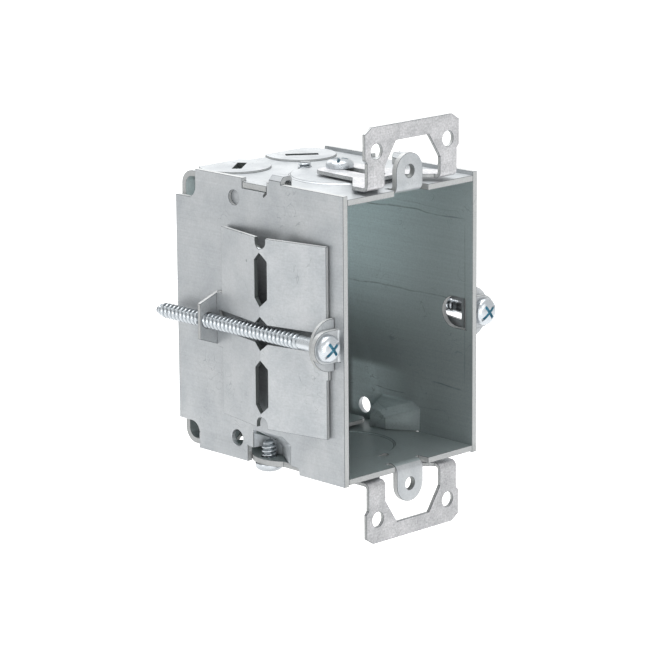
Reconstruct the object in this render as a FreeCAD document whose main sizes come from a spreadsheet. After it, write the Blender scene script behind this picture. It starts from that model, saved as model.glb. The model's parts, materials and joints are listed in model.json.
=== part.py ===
import FreeCAD, Part
import Sketcher
import os
import re

# Gangable steel switch box, 3 x 2 x 2 1/2 in, with plaster ears, fold-out wall clamps and cable clamps.
# Millimetres. X to the right, Y into the wall, Z up. The origin is the middle of the four ear holes, in
# the plane of the ears' back faces, which is the face of the wall that the box is fixed to.

Vector = FreeCAD.Vector
Rotation = FreeCAD.Rotation
doc = FreeCAD.newDocument("SwitchBox")

# Driving sizes: one cell each, every other size is worked out from them by an expression.
driving = {
    # the folded strip: top, back and bottom in one piece
    "sheet_thick": 1.6,
    "gang_width": 46.0,
    "body_height": 74.8,
    "body_depth": 62.7,
    "rim_forward": 0.5,
    "rear_bend": 4.0,
    # device lugs, bent out of the front rim
    "device_spacing": 83.34,
    "device_hole_radius": 1.75,
    "lug_half_width": 4.8,
    "lug_setback": 0.6,
    "lug_bend": 0.8,
    "relief_width": 1.4,
    "relief_depth": 3.6,
    # round bosses that carry the ears
    "boss_radius": 14.2,
    "boss_centre": 24.7,
    "boss_rise": 0.4,
    "boss_slope": 0.5,
    "collar_rise": 0.55,
    "collar_radius": 3.0,
    "spare_hole_radius": 1.5,
    "spare_hole_place": 10.2,
    # pry-outs for cables, half sheared out of the top and bottom
    "pryout_radius": 9.65,
    "pryout_offset": 12.1,
    "pryout_centre": 53.1,
    "pryout_cut": 59.4,
    "pryout_lift": 0.5,
    "shear_overlap": 0.35,
    "slot_length": 8.9,
    "slot_width": 2.4,
    "slot_centre": 52.1,
    "slot_offset": 11.5,
    "slot_turn": 37.0,
    # back wall
    "ground_hole_radius": 2.4,
    "ground_hole_drop": 21.0,
    # side tabs of the top, side lugs of the bottom
    "tab_middle": 32.3,
    "tab_length": 9.0,
    "side_lug_radius": 9.3,
    "side_lug_middle": 30.0,
    "side_lug_reach": 25.2,
    # side panels
    "panel_depth": 63.5,
    "panel_rise": 1.0,
    "panel_drop": 0.4,
    "corner_notch_depth": 7.8,
    "corner_notch_height": 7.1,
    "corner_notch_round": 3.0,
    "step_front": 16.5,
    "step_rear": 19.5,
    "step_height": 1.9,
    "lug_notch_height": 4.1,
    "nail_hole_radius": 2.2,
    "nail_hole_place": 40.2,
    "nail_hole_height": 32.1,
    "dimple_radius": 2.1,
    "dimple_height": 32.8,
    "dimple_depth": 1.0,
    "tear_width": 0.35,
    "tear_run": 1.35,
    "hook_front": 22.4,
    "hook_rear": 26.8,
    "hook_reach": 4.8,
    "hook_rise": 3.0,
    "hook_thick": 1.2,
    "hook_round": 1.3,
    "scoop_depth": 5.1,
    "scoop_top": 28.6,
    "scoop_front": 19.8,
    "scoop_rear": 33.0,
    "scoop_run": 8.2,
    "scoop_fall": 3.0,
    "scoop_bevel": 1.5,
    "window_height": 4.3,
    "window_length": 7.7,
    "flap_front": 1.3,
    "flap_bend": 0.7,
    # plaster ears
    "ear_thick": 1.0,
    "ear_hole_radius": 2.05,
    "ear_hole_across": 26.1,
    "ear_hole_along": 97.1,
    "ear_half_root": 16.4,
    "ear_half_wide": 17.2,
    "ear_widen": 45.8,
    "ear_shoulder": 53.3,
    "ear_end": 54.9,
    "ear_corner": 2.1,
    "ear_window_half": 10.2,
    "ear_window_top_half": 6.0,
    "ear_window_top": 50.6,
    "ear_window_widest": 44.2,
    "ear_leg_wide": 4.5,
    "ear_tongue_half": 8.0,
    "ear_tongue_end": 28.6,
    "ear_tongue_taper": 0.9,
    "ear_tongue_round": 3.0,
    "ear_throat_half": 3.6,
    "ear_slot_half": 1.95,
    "ear_travel": 14.0,
    "ear_bend": 0.6,
    # wall clamps: a strap each side, folded at its perforated middle
    "strap_thick": 1.1,
    "strap_half_height": 25.3,
    "strap_gap": 0.12,
    "strap_span": 42.1,
    "strap_bulge": 4.15,
    "strap_fold_most": 52.0,
    "strap_root_front": 0.5,
    "strap_root_rear": 2.75,
    "strap_neck_up": 6.6,
    "strap_neck_down": 9.6,
    "strap_neck_rear": 7.4,
    "strap_slot_half": 2.5,
    "strap_slot_start": 1.2,
    "hex_half_width": 2.35,
    "hex_half_length": 7.1,
    "hex_straight": 5.0,
    "hex_centre": 14.3,
    "diamond_half_length": 4.45,
    "fold_notch_half": 2.0,
    "fold_notch_depth": 2.9,
    "front_tab_radius": 6.9,
    "rear_tab_reach": 6.9,
    "rear_tab_half_root": 7.3,
    "rear_tab_half_end": 4.8,
    # clamp screws
    "clamp_screw_offset": 28.93,
    "clamp_screw_drop": 0.35,
    "clamp_thread_radius": 2.05,
    "clamp_screw_length": 64.2,
    "clamp_head_radius": 3.6,
    "clamp_head_height": 2.5,
    "clamp_tip_length": 2.6,
    # ear screws
    "ear_screw_place": 25.7,
    "ear_thread_radius": 1.75,
    "ear_screw_length": 6.35,
    "ear_head_radius": 3.7,
    "ear_head_height": 2.4,
    # lock screws of the side panels
    "lock_screw_offset": 22.0,
    "lock_screw_place": 30.6,
    "lock_thread_radius": 2.0,
    "lock_screw_length": 5.9,
    "lock_head_radius": 3.7,
    "lock_head_height": 2.3,
    "lock_tip_length": 1.3,
    # cable clamps inside
    "cable_clamp_half": 18.2,
    "cable_clamp_front": 34.0,
    "cable_clamp_length": 11.0,
    "cable_clamp_thick": 1.2,
    "cable_clamp_land": 5.2,
    "cable_clamp_ramp": 1.6,
    "cable_clamp_lift": 0.9,
    "cable_clamp_round": 2.5,
    "cable_screw_place": 39.0,
    "cable_thread_radius": 1.75,
    "cable_head_radius": 3.4,
    "cable_head_height": 2.0,
    # the driver recess in every head: a slot across a cross
    "recess_width": 0.8,
    "recess_share": 0.62,
    "recess_depth": 1.1,
    "head_flat": 0.88,
    "head_edge": 0.8,
    "tip_share": 0.6,
    # fits
    "running_clearance": 0.08,
    "thread_clearance": 0.05,
    "seat_clearance": 0.15,
}

sizes = doc.addObject("Spreadsheet::Sheet", "Sizes")
for row, (alias, size) in enumerate(driving.items(), 1):
    sizes.set(f"A{row}", alias)
    sizes.set(f"B{row}", str(size))
    sizes.setAlias(f"B{row}", alias)
doc.recompute()

# Places that several pieces share, as expressions of the cells.
top = "body_height / 2"
outer_side = "(gang_width / 2 + sheet_thick)"
rear_face = "(body_depth - rim_forward)"
panel_top = "(body_height / 2 + panel_rise)"
panel_bottom = "(body_height / 2 + panel_drop)"
panel_rear = "(panel_depth - rim_forward)"
ear_seat = "(body_height / 2 + boss_rise + collar_rise)"
strap_root = "(gang_width / 2 + sheet_thick + strap_gap + strap_thick)"
strap_front = "(flap_front + sheet_thick + strap_thick)"
strap_length = "sqrt(strap_span ^ 2 / 4 + strap_bulge ^ 2)"
strap_lean = "atan(2 * strap_bulge / strap_span)"
fold_bevel = "strap_thick * tan(strap_fold_most)"


def number(text):
    return float(sizes.evalExpression(text))


def bound(text):
    return re.sub(r"[a-z]+(?:_[a-z]+)+", lambda word: "Sizes." + word.group(0), text)


def tie(thing, prop, text):
    thing.setExpression(prop, bound(text))


def new_body(label):
    body = doc.addObject("PartDesign::Body", label)
    body.Label = label
    return body


# Sketches on a body's own origin planes. On XZ the sketch's normal points to -Y.
def new_sketch(body, role, label, level="0"):
    sketch = body.newObject("Sketcher::SketchObject", label)
    plane = [entry for entry in body.Origin.OriginFeatures if entry.Role == role][0]
    sketch.AttachmentSupport = [(plane, "")]
    sketch.MapMode = "FlatFace"
    tie(sketch, "AttachmentOffset.Base.z", level)
    doc.recompute([sketch])
    return sketch


def constrain(sketch, pairs):
    places = sketch.addConstraint([constraint for constraint, text in pairs])
    for place, (constraint, text) in zip(places, pairs):
        if text:
            tie(sketch, f"Constraints[{place}]", text)


def polygon(sketch, corners):
    spots = [Vector(number(across), number(up), 0) for across, up in corners]
    first = sketch.GeometryCount
    for start, end in zip(spots, spots[1:] + spots[:1]):
        sketch.addGeometry(Part.LineSegment(start, end), False)
    pairs = []
    for step, (across, up) in enumerate(corners):
        here = first + step
        after = first + (step + 1) % len(corners)
        pairs.append((Sketcher.Constraint("Coincident", here, 2, after, 1), None))
        pairs.append((Sketcher.Constraint("DistanceX", -1, 1, here, 1, spots[step].x), across))
        pairs.append((Sketcher.Constraint("DistanceY", -1, 1, here, 1, spots[step].y), up))
    constrain(sketch, pairs)


# A disc cut straight: what stays lies below the line (up) or left of it (across).
def cut_disc(sketch, across, up, radius, line, vertical=False):
    centre = Vector(number(across), number(up), 0)
    size = number(radius)
    reach = number(line) - (centre.x if vertical else centre.y)
    half = (size ** 2 - reach ** 2) ** 0.5
    if vertical:
        ends = [centre + Vector(reach, half, 0), centre + Vector(reach, -half, 0)]
    else:
        ends = [centre + Vector(-half, reach, 0), centre + Vector(half, reach, 0)]
    circle = Part.Circle(centre, Vector(0, 0, 1), size)
    arc = Part.ArcOfCircle(circle, circle.parameter(ends[0]), circle.parameter(ends[1]))
    curve = sketch.addGeometry(arc, False)
    chord = sketch.addGeometry(Part.LineSegment(ends[1], ends[0]), False)
    straight = "Vertical" if vertical else "Horizontal"
    distance = "DistanceX" if vertical else "DistanceY"
    constrain(sketch, [
        (Sketcher.Constraint("Coincident", curve, 2, chord, 1), None),
        (Sketcher.Constraint("Coincident", curve, 1, chord, 2), None),
        (Sketcher.Constraint(straight, chord), None),
        (Sketcher.Constraint("DistanceX", -1, 1, curve, 3, centre.x), across),
        (Sketcher.Constraint("DistanceY", -1, 1, curve, 3, centre.y), up),
        (Sketcher.Constraint("Radius", curve, size), radius),
        (Sketcher.Constraint(distance, -1, 1, chord, 1, number(line)), line),
    ])


def pad(body, sketch, length, midplane=False):
    feature = body.newObject("PartDesign::Pad", sketch.Name + "Pad")
    feature.Profile = sketch
    feature.Midplane = midplane
    tie(feature, "Length", length)
    doc.recompute()
    return feature


def pocket(body, sketch, length, midplane=False):
    before = body.Shape.Volume
    feature = body.newObject("PartDesign::Pocket", sketch.Name + "Pocket")
    feature.Profile = sketch
    feature.Midplane = midplane
    tie(feature, "Length", length)
    doc.recompute()
    if not body.Shape.Volume < before:
        raise RuntimeError(f"{feature.Name} cuts nothing")
    return feature


# A primitive of a body: its corner or its axis' foot, its sizes, and the way its own Z points.
def primitive(body, kind, label, foot, turn=None, **lengths):
    feature = body.newObject("PartDesign::" + kind, label)
    if turn is not None:
        feature.Placement = FreeCAD.Placement(Vector(), turn)
    for axis, text in zip("xyz", foot):
        tie(feature, f"Placement.Base.{axis}", text)
    for prop, text in lengths.items():
        tie(feature, prop, text)
    doc.recompute()
    return feature


along_y = Rotation(Vector(0, 0, 1), Vector(0, 1, 0))
along_x = Rotation(Vector(0, 0, 1), Vector(1, 0, 0))
downward = Rotation(Vector(1, 0, 0), 180)


# Straight edges parallel to an axis (0, 1 or 2) that pass through one of the spots.
def edges_along(shape, axis, spots):
    others = [place for place in range(3) if place != axis]
    found = []
    for count, edge in enumerate(shape.Edges, 1):
        ends = [vertex.Point for vertex in edge.Vertexes]
        if len(ends) < 2 or abs(ends[0][axis] - ends[1][axis]) < 0.05:
            continue
        for spot in spots:
            gaps = [abs(end[other] - spot[other]) for end in ends for other in others]
            if max(gaps) < 0.01:
                found.append(f"Edge{count}")
                break
    if not found:
        raise RuntimeError("no edge at " + str(spots))
    return found


def soften(body, label, radius, axis, spots):
    places = [tuple(number(text) for text in spot) for spot in spots]
    base = body.Tip
    names = edges_along(base.Shape, axis, places)
    feature = body.newObject("PartDesign::Fillet", label)
    feature.Base = (base, names)
    tie(feature, "Radius", radius)
    doc.recompute()
    return feature


def mirrored(source, label, normal):
    twin = doc.addObject("Part::Mirroring", label)
    twin.Label = label
    twin.Source = source
    twin.Normal = normal
    return twin


# The strip: one sheet folded into top, back and bottom
def make_box_body():
    body = new_body("box_body")
    profile = new_sketch(body, "YZ_Plane", "StripProfile")
    polygon(profile, [
        ("-rim_forward", top),
        (rear_face, top),
        (rear_face, "-" + top),
        ("-rim_forward", "-" + top),
        ("-rim_forward", "sheet_thick - " + top),
        (f"{rear_face} - sheet_thick", "sheet_thick - " + top),
        (f"{rear_face} - sheet_thick", top + " - sheet_thick"),
        ("-rim_forward", top + " - sheet_thick"),
    ])
    pad(body, profile, "gang_width", midplane=True)
    soften(body, "OuterBend", "rear_bend", 0, [("0", rear_face, top), ("0", rear_face, "-" + top)])
    inner = f"{rear_face} - sheet_thick"
    soften(body, "InnerBend", "rear_bend - sheet_thick", 0,
           [("0", inner, top + " - sheet_thick"), ("0", inner, "sheet_thick - " + top)])
    add_side_tabs(body)
    for end, sign in (("Top", ""), ("Bottom", "-")):
        add_device_lug(body, end, sign)
        add_boss(body, end, sign)
        for side, hand in (("Left", "-"), ("Right", "")):
            add_pryout(body, end + side, sign, hand)
    add_back_wall(body)
    return body


# The sheet's own thickness at the top ("") or bottom ("-"), as its lower face
def wall_floor(sign, lift="0"):
    return f"{top} - sheet_thick + {lift}" if sign == "" else f"-({top} + {lift})"


def add_side_tabs(body):
    primitive(body, "AdditiveBox", "SideTabs",
              (f"-{outer_side}", "tab_middle - tab_length / 2", wall_floor("")),
              Length=f"2 * {outer_side}", Width="tab_length", Height="sheet_thick")
    for side, hand in (("Left", "-"), ("Right", "")):
        primitive(body, "AdditiveCylinder", "SideLug" + side,
                  (f"{hand}(side_lug_reach - side_lug_radius)", "side_lug_middle", wall_floor("-")),
                  Radius="side_lug_radius", Height="sheet_thick")
        primitive(body, "SubtractiveCylinder", "LockHole" + side,
                  (f"{hand}lock_screw_offset", "lock_screw_place", f"-{top} - 1"),
                  Radius="lock_thread_radius + thread_clearance", Height="sheet_thick + 2")


def add_device_lug(body, end, sign):
    cutter = "lug_half_width + relief_width"
    primitive(body, "SubtractiveBox", "Relief" + end,
              (f"-({cutter})", "-rim_forward - 1", f"{wall_floor(sign)} - 1"),
              Length=f"2 * ({cutter})", Width="relief_depth + 1", Height="sheet_thick + 2")
    front = "(lug_setback - rim_forward)"
    inside = f"{sign}({top} - sheet_thick)"
    outside = f"{sign}{top}"
    centre = f"{sign}device_spacing / 2"
    profile = new_sketch(body, "YZ_Plane", "Lug" + end)
    polygon(profile, [
        (front, inside),
        ("relief_depth", inside),
        ("relief_depth", outside),
        (f"{front} + sheet_thick", outside),
        (f"{front} + sheet_thick", centre),
        (front, centre),
    ])
    pad(body, profile, "2 * lug_half_width", midplane=True)
    soften(body, "LugOuter" + end, "lug_bend + sheet_thick", 0, [("0", front, inside)])
    soften(body, "LugInner" + end, "lug_bend", 0, [("0", f"{front} + sheet_thick", outside)])
    primitive(body, "AdditiveCylinder", "LugEnd" + end, ("0", front, centre), along_y,
              Radius="lug_half_width", Height="sheet_thick")
    primitive(body, "SubtractiveCylinder", "DeviceHole" + end, ("0", f"{front} - 1", centre), along_y,
              Radius="device_hole_radius", Height="sheet_thick + 2")


def add_boss(body, end, sign):
    turn = None if sign == "" else downward
    through = f"{sign}({top} - sheet_thick - 1)"
    primitive(body, "AdditiveCone", "Boss" + end, ("0", "boss_centre", sign + top), turn,
              Radius1="boss_radius", Radius2="boss_radius - boss_slope", Height="boss_rise")
    primitive(body, "SubtractiveCone", "Dish" + end,
              ("0", "boss_centre", f"{sign}({top} - sheet_thick)"), turn,
              Radius1="boss_radius - boss_slope", Radius2="boss_radius - 2 * boss_slope",
              Height="boss_rise")
    primitive(body, "AdditiveCylinder", "Collar" + end,
              ("0", "ear_screw_place", f"{sign}({top} + boss_rise / 2)"), turn,
              Radius="collar_radius", Height="collar_rise + boss_rise / 2")
    holes = (("EarHole", "ear_screw_place", "ear_thread_radius + thread_clearance"),
             ("SpareHole", "spare_hole_place", "spare_hole_radius"),
             ("CableHole", "cable_screw_place", "cable_thread_radius + thread_clearance"))
    for name, place, radius in holes:
        primitive(body, "SubtractiveCylinder", name + end, ("0", place, through), turn,
                  Radius=radius, Height="sheet_thick + boss_rise + collar_rise + 2")


def add_pryout(body, corner, sign, hand):
    across = f"{hand}pryout_offset"
    disc = new_sketch(body, "XY_Plane", "Pryout" + corner, wall_floor(sign, "pryout_lift"))
    cut_disc(disc, across, "pryout_centre", "pryout_radius", "pryout_cut")
    pad(body, disc, "sheet_thick")
    level = f"{top} - sheet_thick + pryout_lift" if sign == "" else f"sheet_thick - {top}"
    recess = new_sketch(body, "XY_Plane", "Recess" + corner, level)
    cut_disc(recess, across, "pryout_centre", "pryout_radius - shear_overlap", "pryout_cut - shear_overlap")
    pocket(body, recess, "pryout_lift")
    turn = f"{'-' if hand == '' else ''}slot_turn"
    foot = wall_floor(sign, "pryout_lift")
    slot = primitive(
        body, "SubtractiveBox", "Slot" + corner,
        (f"{hand}slot_offset - slot_length / 2 * cos({turn}) + slot_width / 2 * sin({turn})",
         f"slot_centre - slot_length / 2 * sin({turn}) - slot_width / 2 * cos({turn})", f"{foot} - 1"),
        Rotation(Vector(0, 0, 1), number(turn)),
        Length="slot_length", Width="slot_width", Height="sheet_thick + 2")
    tie(slot, "Placement.Rotation.Angle", turn if hand == "-" else f"360 - slot_turn")


def add_back_wall(body):
    primitive(body, "SubtractiveCylinder", "GroundHole",
              ("0", f"{rear_face} - sheet_thick - 1", "-ground_hole_drop"), along_y,
              Radius="ground_hole_radius", Height="sheet_thick + 2")


# A side panel, hooked over the top and held by the lock screw at the bottom
def make_side_panel():
    body = new_body("side_panel_left")
    low = f"-{panel_bottom}"
    notch_front = "tab_middle - tab_length / 2 - seat_clearance"
    notch_rear = "tab_middle + tab_length / 2 + seat_clearance"
    notch_floor = f"{top} - sheet_thick - seat_clearance"
    lug_rear = "side_lug_middle + side_lug_radius * 0.65"
    step = f"step_height - {panel_bottom}"
    scoop_low = f"sheet_thick + seat_clearance - {top}"
    corner = f"{panel_rear} - corner_notch_depth"
    edge = new_sketch(body, "YZ_Plane", "PanelEdge", f"-{outer_side}")
    polygon(edge, [
        ("-rim_forward", low),
        ("step_front", low),
        ("step_front", step),
        ("step_rear", step),
        ("step_rear", scoop_low),
        ("scoop_rear", scoop_low),
        ("scoop_rear", f"lug_notch_height - {panel_bottom}"),
        (lug_rear, f"lug_notch_height - {panel_bottom}"),
        (lug_rear, low),
        (corner, low),
        (corner, f"corner_notch_height - {panel_bottom}"),
        (panel_rear, f"corner_notch_height - {panel_bottom}"),
        (panel_rear, f"{panel_bottom} - corner_notch_height"),
        (corner, f"{panel_bottom} - corner_notch_height"),
        (corner, panel_top),
        (notch_rear, panel_top),
        (notch_rear, notch_floor),
        (notch_front, notch_floor),
        (notch_front, panel_top),
        ("-rim_forward", panel_top),
    ])
    pad(body, edge, "sheet_thick")
    notch = f"corner_notch_height - {panel_bottom}"
    soften(body, "CornerRounds", "corner_notch_round", 0, [("0", corner, notch), ("0", corner, f"-({notch})")])
    soften(body, "StepRound", "step_height / 2", 0, [("0", "step_front", step)])
    add_scoop(body, scoop_low)
    add_hook(body)
    add_flap(body)
    add_panel_holes(body, notch_front, notch_floor)
    return body


# The pressed-in scoop that the lock screw's tip bears in: open below and at its rear end. Its wall and
# its hollow are two wedges that narrow inwards, each with its slanting front corner taken off.
def add_scoop(body, low):
    wall = "sheet_thick * 0.55"
    shell = scoop_wedge(body, "AdditiveWedge", "ScoopShell", "-(gang_width / 2)", wall, low, "scoop_rear")
    bevel(body, "ScoopShellBevel", "scoop_bevel", shell)
    hollow = scoop_wedge(body, "SubtractiveWedge", "Scoop", "-" + outer_side, "0",
                         f"({low} - 1)", "(scoop_rear + 1)")
    bevel(body, "ScoopBevel", "scoop_bevel", hollow)


# Both wedges are as long as the scoop is deep. Returns the two ends of the slanting corner.
def scoop_wedge(body, kind, label, start, grow, low, rear):
    front = f"(scoop_front - {grow})"
    high = f"({grow} - scoop_top)"
    turn = Rotation(Vector(0, 0, 1), -90)
    primitive(body, kind, label, (start, "0", "0"), turn,
              Xmin="-" + rear, X2min="-" + rear, Xmax="-" + front, X2max=f"-({front} + scoop_run)",
              Ymin="0", Ymax="scoop_depth",
              Zmin=low, Z2min=low, Zmax=high, Z2max=f"{high} - scoop_fall")
    return [(start, front, high), (f"{start} + scoop_depth", f"{front} + scoop_run", f"{high} - scoop_fall")]


# The straight edge between two spots, taken off at 45 degrees.
def bevel(body, label, size, spots):
    ends = [Vector(*(number(text) for text in spot)) for spot in spots]
    base = body.Tip
    names = [f"Edge{count}" for count, edge in enumerate(base.Shape.Edges, 1)
             if all(min(vertex.Point.distanceToPoint(end) for vertex in edge.Vertexes) < 0.01 for end in ends)]
    if len(names) != 1:
        raise RuntimeError(f"{label} finds {len(names)} edges")
    feature = body.newObject("PartDesign::Chamfer", label)
    feature.Base = (base, names)
    tie(feature, "Size", size)
    doc.recompute()
    return feature


# The tongue that arches from the panel's top edge over the strip
def add_hook(body):
    tip = "hook_reach - " + outer_side
    crest = f"({top} + hook_rise)"
    side = f"-{outer_side}"
    inside = "-(gang_width / 2)"
    arch = new_sketch(body, "XZ_Plane", "HookArch", "-hook_rear")
    polygon(arch, [
        (side, f"{top} - sheet_thick"),
        (side, f"{crest} - hook_thick"),
        (f"{side} + hook_thick", crest),
        (f"{tip} - hook_thick", crest),
        (tip, f"{crest} - hook_thick"),
        (tip, top),
        (f"{tip} - hook_thick * 0.8", top),
        (f"{tip} - hook_thick * 0.8", f"{crest} - hook_thick * 1.5"),
        (f"{tip} - hook_thick * 1.3", f"{crest} - hook_thick"),
        (f"{inside} + hook_thick * 0.4", f"{crest} - hook_thick"),
        (inside, f"{crest} - hook_thick * 1.5"),
        (inside, f"{top} - sheet_thick"),
    ])
    pad(body, arch, "hook_rear - hook_front")
    soften(body, "HookTip", "hook_round", 2, [(tip, "hook_front", "0"), (tip, "hook_rear", "0")])


# The D-shaped flap, lanced out of its window, that carries the clamp screw's head
def add_flap(body):
    height = "(-clamp_screw_drop)"
    behind = "(flap_front + sheet_thick)"
    round_centre = f"{behind} + window_length - window_height"
    window = new_sketch(body, "YZ_Plane", "Window", f"1 - gang_width / 2")
    polygon(window, [
        (behind, f"{height} - window_height"),
        (round_centre, f"{height} - window_height"),
        (round_centre, f"{height} + window_height"),
        (behind, f"{height} + window_height"),
    ])
    pocket(body, window, "sheet_thick + 2")
    primitive(body, "SubtractiveCylinder", "WindowRound", (f"-{outer_side} - 1", round_centre, height),
              along_x, Radius="window_height", Height="sheet_thick + 2")
    primitive(body, "AdditiveBox", "Flap",
              ("-clamp_screw_offset", "flap_front", f"{height} - window_height"),
              Length="clamp_screw_offset - gang_width / 2", Width="sheet_thick", Height="2 * window_height")
    primitive(body, "AdditiveCylinder", "FlapRound", ("-clamp_screw_offset", "flap_front", height), along_y,
              Radius="window_height", Height="sheet_thick")
    soften(body, "FlapBendIn", "flap_bend", 2, [(f"-{outer_side}", "flap_front", "0")])
    soften(body, "FlapBendOut", "sheet_thick * 0.95", 2, [("-(gang_width / 2)", behind, "0")])
    primitive(body, "SubtractiveCylinder", "FlapHole",
              ("-clamp_screw_offset", "flap_front - 1", height), along_y,
              Radius="clamp_thread_radius + running_clearance", Height="sheet_thick + 2")


def add_panel_holes(body, notch_front, notch_floor):
    outside = f"-{outer_side} - 1"
    inside = "-(gang_width / 2)"
    primitive(body, "SubtractiveCylinder", "NailHole", (outside, "nail_hole_place", "-nail_hole_height"),
              along_x, Radius="nail_hole_radius", Height="sheet_thick + 2")
    primitive(body, "AdditiveCylinder", "DimpleInside", (f"{inside} - sheet_thick / 2",
              "nail_hole_place", "dimple_height"), along_x,
              Radius="dimple_radius", Height="sheet_thick / 2 + dimple_depth")
    primitive(body, "SubtractiveCylinder", "Dimple", (outside, "nail_hole_place", "dimple_height"), along_x,
              Radius="dimple_radius - 0.1", Height="dimple_depth + 1")
    tear = new_sketch(body, "YZ_Plane", "Tear", "1 - gang_width / 2")
    polygon(tear, [
        (notch_front, f"{notch_floor} + tear_width"),
        (f"{notch_front} + tear_width", f"{notch_floor} + tear_width"),
        (f"{notch_front} + tear_run", f"{notch_floor} - tear_run + tear_width"),
        (f"{notch_front} + tear_run - tear_width / 2", f"{notch_floor} - tear_run"),
        (notch_front, f"{notch_floor} - tear_width"),
    ])
    pocket(body, tear, "sheet_thick + 2")


# A plaster ear: the slotted leg lies on the boss, the plate stands against the wall's face
def make_ear():
    body = new_body("plaster_ear_top")
    half = "ear_half_root"
    throat = "lug_setback + ear_bend"
    leg = new_sketch(body, "XY_Plane", "EarLeg", ear_seat)
    slant_end = "ear_leg_wide + ear_half_root - ear_tongue_half"
    tail = "ear_tongue_half - ear_tongue_taper"
    polygon(leg, [
        (f"-{half}", "-ear_thick"),
        (half, "-ear_thick"),
        (half, "ear_leg_wide"),
        ("ear_tongue_half", slant_end),
        (tail, "ear_tongue_end"),
        (f"-({tail})", "ear_tongue_end"),
        ("-ear_tongue_half", slant_end),
        (f"-{half}", "ear_leg_wide"),
    ])
    pad(body, leg, "ear_thick")
    soften(body, "TongueRounds", "ear_tongue_round", 2,
           [(tail, "ear_tongue_end", "0"), (f"-({tail})", "ear_tongue_end", "0")])
    plate = new_sketch(body, "XZ_Plane", "EarPlate")
    flank = [
        ("ear_half_root", ear_seat),
        ("ear_half_root", "ear_widen"),
        ("ear_half_wide", "ear_widen + ear_half_wide - ear_half_root"),
        ("ear_half_wide", "ear_shoulder"),
        ("ear_half_wide - ear_corner / 4", "ear_shoulder + ear_corner / 8"),
        ("ear_half_wide - ear_corner * 1.2", "ear_end"),
    ]
    polygon(plate, flank + [(f"-({across})", up) for across, up in reversed(flank)])
    pad(body, plate, "ear_thick")
    soften(body, "EarBendOut", "ear_bend + ear_thick", 0, [("0", "-ear_thick", ear_seat)])
    soften(body, "EarBendIn", "ear_bend", 0, [("0", "0", f"{ear_seat} + ear_thick")])
    window = new_sketch(body, "XZ_Plane", "EarWindow", "1 + ear_thick")
    polygon(window, [
        ("-ear_window_half", f"{ear_seat} - 1"),
        ("ear_window_half", f"{ear_seat} - 1"),
        ("ear_window_half", "ear_window_widest"),
        ("ear_window_top_half", "ear_window_top"),
        ("-ear_window_top_half", "ear_window_top"),
        ("-ear_window_half", "ear_window_widest"),
    ])
    pocket(body, window, f"{throat} + ear_thick + 1")
    gap = new_sketch(body, "XY_Plane", "EarThroat", f"{ear_seat} + ear_thick + 1")
    reach = "ear_window_half - ear_throat_half"
    polygon(gap, [
        ("-ear_window_half", f"{throat} - 0.5"),
        ("ear_window_half", f"{throat} - 0.5"),
        ("ear_window_half", throat),
        ("ear_throat_half", f"{throat} + {reach}"),
        ("-ear_throat_half", f"{throat} + {reach}"),
        ("-ear_window_half", throat),
    ])
    pocket(body, gap, "ear_thick + 2")
    front_end = "(ear_screw_place - ear_travel)"
    primitive(body, "SubtractiveBox", "EarSlot", ("-ear_slot_half", front_end, f"{ear_seat} - 1"),
              Length="2 * ear_slot_half", Width="ear_travel", Height="ear_thick + 2")
    for name, place in (("EarSlotFront", front_end), ("EarSlotRear", "ear_screw_place")):
        primitive(body, "SubtractiveCylinder", name, ("0", place, f"{ear_seat} - 1"),
                  Radius="ear_slot_half", Height="ear_thick + 2")
    for side, hand in (("Left", "-"), ("Right", "")):
        primitive(body, "SubtractiveCylinder", "EarHole" + side,
                  (f"{hand}ear_hole_across / 2", "-ear_thick - 1", "ear_hole_along / 2"), along_y,
                  Radius="ear_hole_radius", Height="ear_thick + 2")
    return body


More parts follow.
